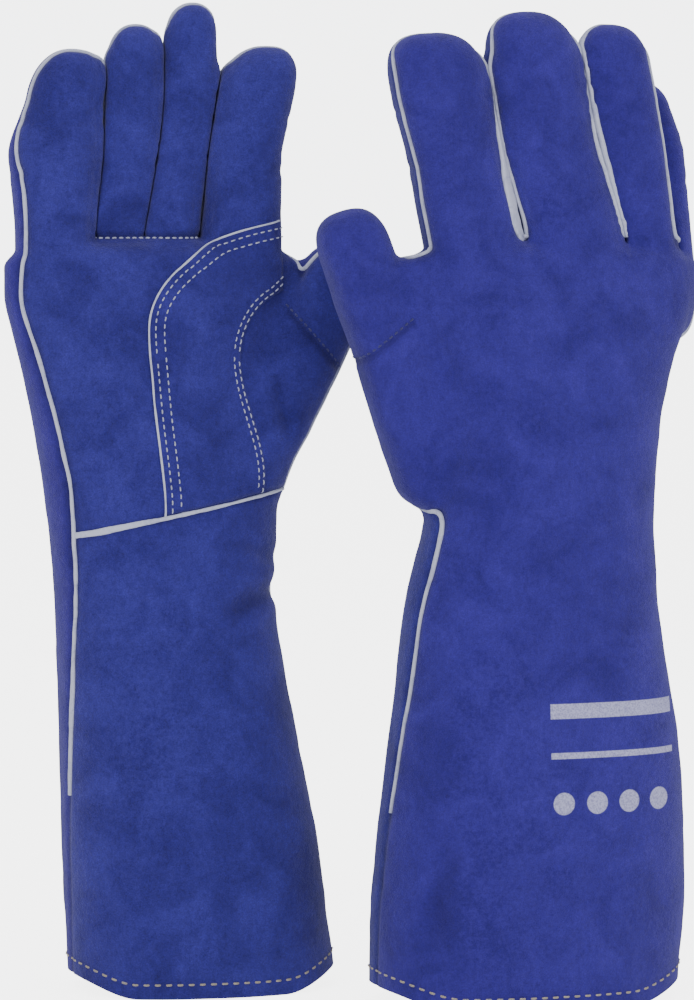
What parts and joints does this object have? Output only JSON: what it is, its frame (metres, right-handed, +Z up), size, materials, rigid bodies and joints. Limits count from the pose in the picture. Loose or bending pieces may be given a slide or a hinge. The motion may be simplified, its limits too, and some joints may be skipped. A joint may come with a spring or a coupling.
{
  "type": "welding gloves",
  "caption": "Suede leather gauntlet welding gloves with long flared cuffs, welted seams, a stitched palm patch and a cloth lining; wrists, fingers and thumbs bend.",
  "frame": {"origin": "on the floor, midway between the two gloves' outermost sides", "axes": "+Z up from the cuff hems to the fingertips, +X across the pair from glove 1 to glove 2, -Y is the side seen from the front"},
  "size_m": [0.2804, 0.105, 0.4056],
  "materials": {
    "back_leather": "matte",
    "palm_leather": "matte",
    "welt": "matte",
    "thread": "matte",
    "lining": "matte"
  },
  "bodies": {
    "glove1_cuff": {"glove1_cuff_back": "back_leather", "glove1_cuff_front": "palm_leather", "glove1_cuff_welts": "welt", "glove1_cuff_lining": "lining"},
    "glove1_hand": {"glove1_hand_back": "back_leather", "glove1_palm": "palm_leather", "glove1_palm_patch": "palm_leather", "glove1_patch_stitching": "thread", "glove1_hand_welts": "welt", "glove1_hand_lining": "lining"},
    "glove1_index": {"glove1_index_back": "back_leather", "glove1_index_front": "palm_leather", "glove1_index_welt": "welt", "glove1_index_lining": "lining"},
    "glove1_middle": {"glove1_middle_back": "back_leather", "glove1_middle_front": "palm_leather", "glove1_middle_welt": "welt", "glove1_middle_lining": "lining"},
    "glove1_ring": {"glove1_ring_back": "back_leather", "glove1_ring_front": "palm_leather", "glove1_ring_welt": "welt", "glove1_ring_lining": "lining"},
    "glove1_little": {"glove1_little_back": "back_leather", "glove1_little_front": "palm_leather", "glove1_little_welt": "welt", "glove1_little_lining": "lining"},
    "glove1_thumb": {"glove1_thumb_back": "back_leather", "glove1_thumb_front": "palm_leather", "glove1_thumb_welt": "welt", "glove1_thumb_lining": "lining"},
    "glove2_cuff": {"glove2_cuff_back": "back_leather", "glove2_cuff_front": "palm_leather", "glove2_cuff_welts": "welt", "glove2_cuff_lining": "lining"},
    "glove2_hand": {"glove2_hand_back": "back_leather", "glove2_palm": "palm_leather", "glove2_palm_patch": "palm_leather", "glove2_patch_stitching": "thread", "glove2_hand_welts": "welt", "glove2_hand_lining": "lining"},
    "glove2_index": {"glove2_index_back": "back_leather", "glove2_index_front": "palm_leather", "glove2_index_welt": "welt", "glove2_index_lining": "lining"},
    "glove2_middle": {"glove2_middle_back": "back_leather", "glove2_middle_front": "palm_leather", "glove2_middle_welt": "welt", "glove2_middle_lining": "lining"},
    "glove2_ring": {"glove2_ring_back": "back_leather", "glove2_ring_front": "palm_leather", "glove2_ring_welt": "welt", "glove2_ring_lining": "lining"},
    "glove2_little": {"glove2_little_back": "back_leather", "glove2_little_front": "palm_leather", "glove2_little_welt": "welt", "glove2_little_lining": "lining"},
    "glove2_thumb": {"glove2_thumb_back": "back_leather", "glove2_thumb_front": "palm_leather", "glove2_thumb_welt": "welt", "glove2_thumb_lining": "lining"}
  },
  "joints": [
    {"name": "glove1_wrist", "type": "hinge", "parent": "glove1_cuff", "child": "glove1_hand", "pos_m": [-0.07621, 0.01257, 0.198], "axis": [-0.9781, -0.2079, 0], "range_deg": [0, 25]},
    {"name": "glove1_index_knuckle", "type": "hinge", "parent": "glove1_hand", "child": "glove1_index", "pos_m": [-0.04298, 0.01963, 0.33], "axis": [0.9781, 0.2079, 0], "range_deg": [0, 70]},
    {"name": "glove1_middle_knuckle", "type": "hinge", "parent": "glove1_hand", "child": "glove1_middle", "pos_m": [-0.07029, 0.01383, 0.33], "axis": [0.9781, 0.2079, 0], "range_deg": [0, 70]},
    {"name": "glove1_ring_knuckle", "type": "hinge", "parent": "glove1_hand", "child": "glove1_ring", "pos_m": [-0.09194, 0.00923, 0.33], "axis": [0.9781, 0.2079, 0], "range_deg": [0, 70]},
    {"name": "glove1_little_knuckle", "type": "hinge", "parent": "glove1_hand", "child": "glove1_little", "pos_m": [-0.11842, 0.0036, 0.33], "axis": [0.9781, 0.2079, 0], "range_deg": [0, 70]},
    {"name": "glove1_thumb_fold", "type": "hinge", "parent": "glove1_hand", "child": "glove1_thumb", "pos_m": [-0.02256, 0.01988, 0.256], "axis": [0.8957, -0.0741, -0.4384], "range_deg": [0, 30]},
    {"name": "glove2_wrist", "type": "hinge", "parent": "glove2_cuff", "child": "glove2_hand", "pos_m": [0.07817, -0.01034, 0.198], "axis": [0.9659, 0.2588, 0], "range_deg": [0, 25]},
    {"name": "glove2_index_knuckle", "type": "hinge", "parent": "glove2_hand", "child": "glove2_index", "pos_m": [0.04485, -0.01927, 0.33], "axis": [-0.9659, -0.2588, 0], "range_deg": [0, 70]},
    {"name": "glove2_middle_knuckle", "type": "hinge", "parent": "glove2_hand", "child": "glove2_middle", "pos_m": [0.08456, -0.00863, 0.33], "axis": [-0.9659, -0.2588, 0], "range_deg": [0, 70]},
    {"name": "glove2_ring_knuckle", "type": "hinge", "parent": "glove2_hand", "child": "glove2_ring", "pos_m": [0.11758, 0.00022, 0.33], "axis": [-0.9659, -0.2588, 0], "range_deg": [0, 70]},
    {"name": "glove2_little_knuckle", "type": "hinge", "parent": "glove2_hand", "child": "glove2_little", "pos_m": [0.13482, 0.00484, 0.33], "axis": [-0.9659, -0.2588, 0], "range_deg": [0, 70]},
    {"name": "glove2_thumb_fold", "type": "hinge", "parent": "glove2_hand", "child": "glove2_thumb", "pos_m": [0.02014, -0.02175, 0.258], "axis": [-0.9369, 0.0168, -0.3492], "range_deg": [0, 30]},
    {"name": "gloves_apart", "type": "slide", "parent": "glove1_cuff", "child": "glove2_cuff", "axis": [1, 0, 0], "range_m": [0, 0.15]}
  ]
}
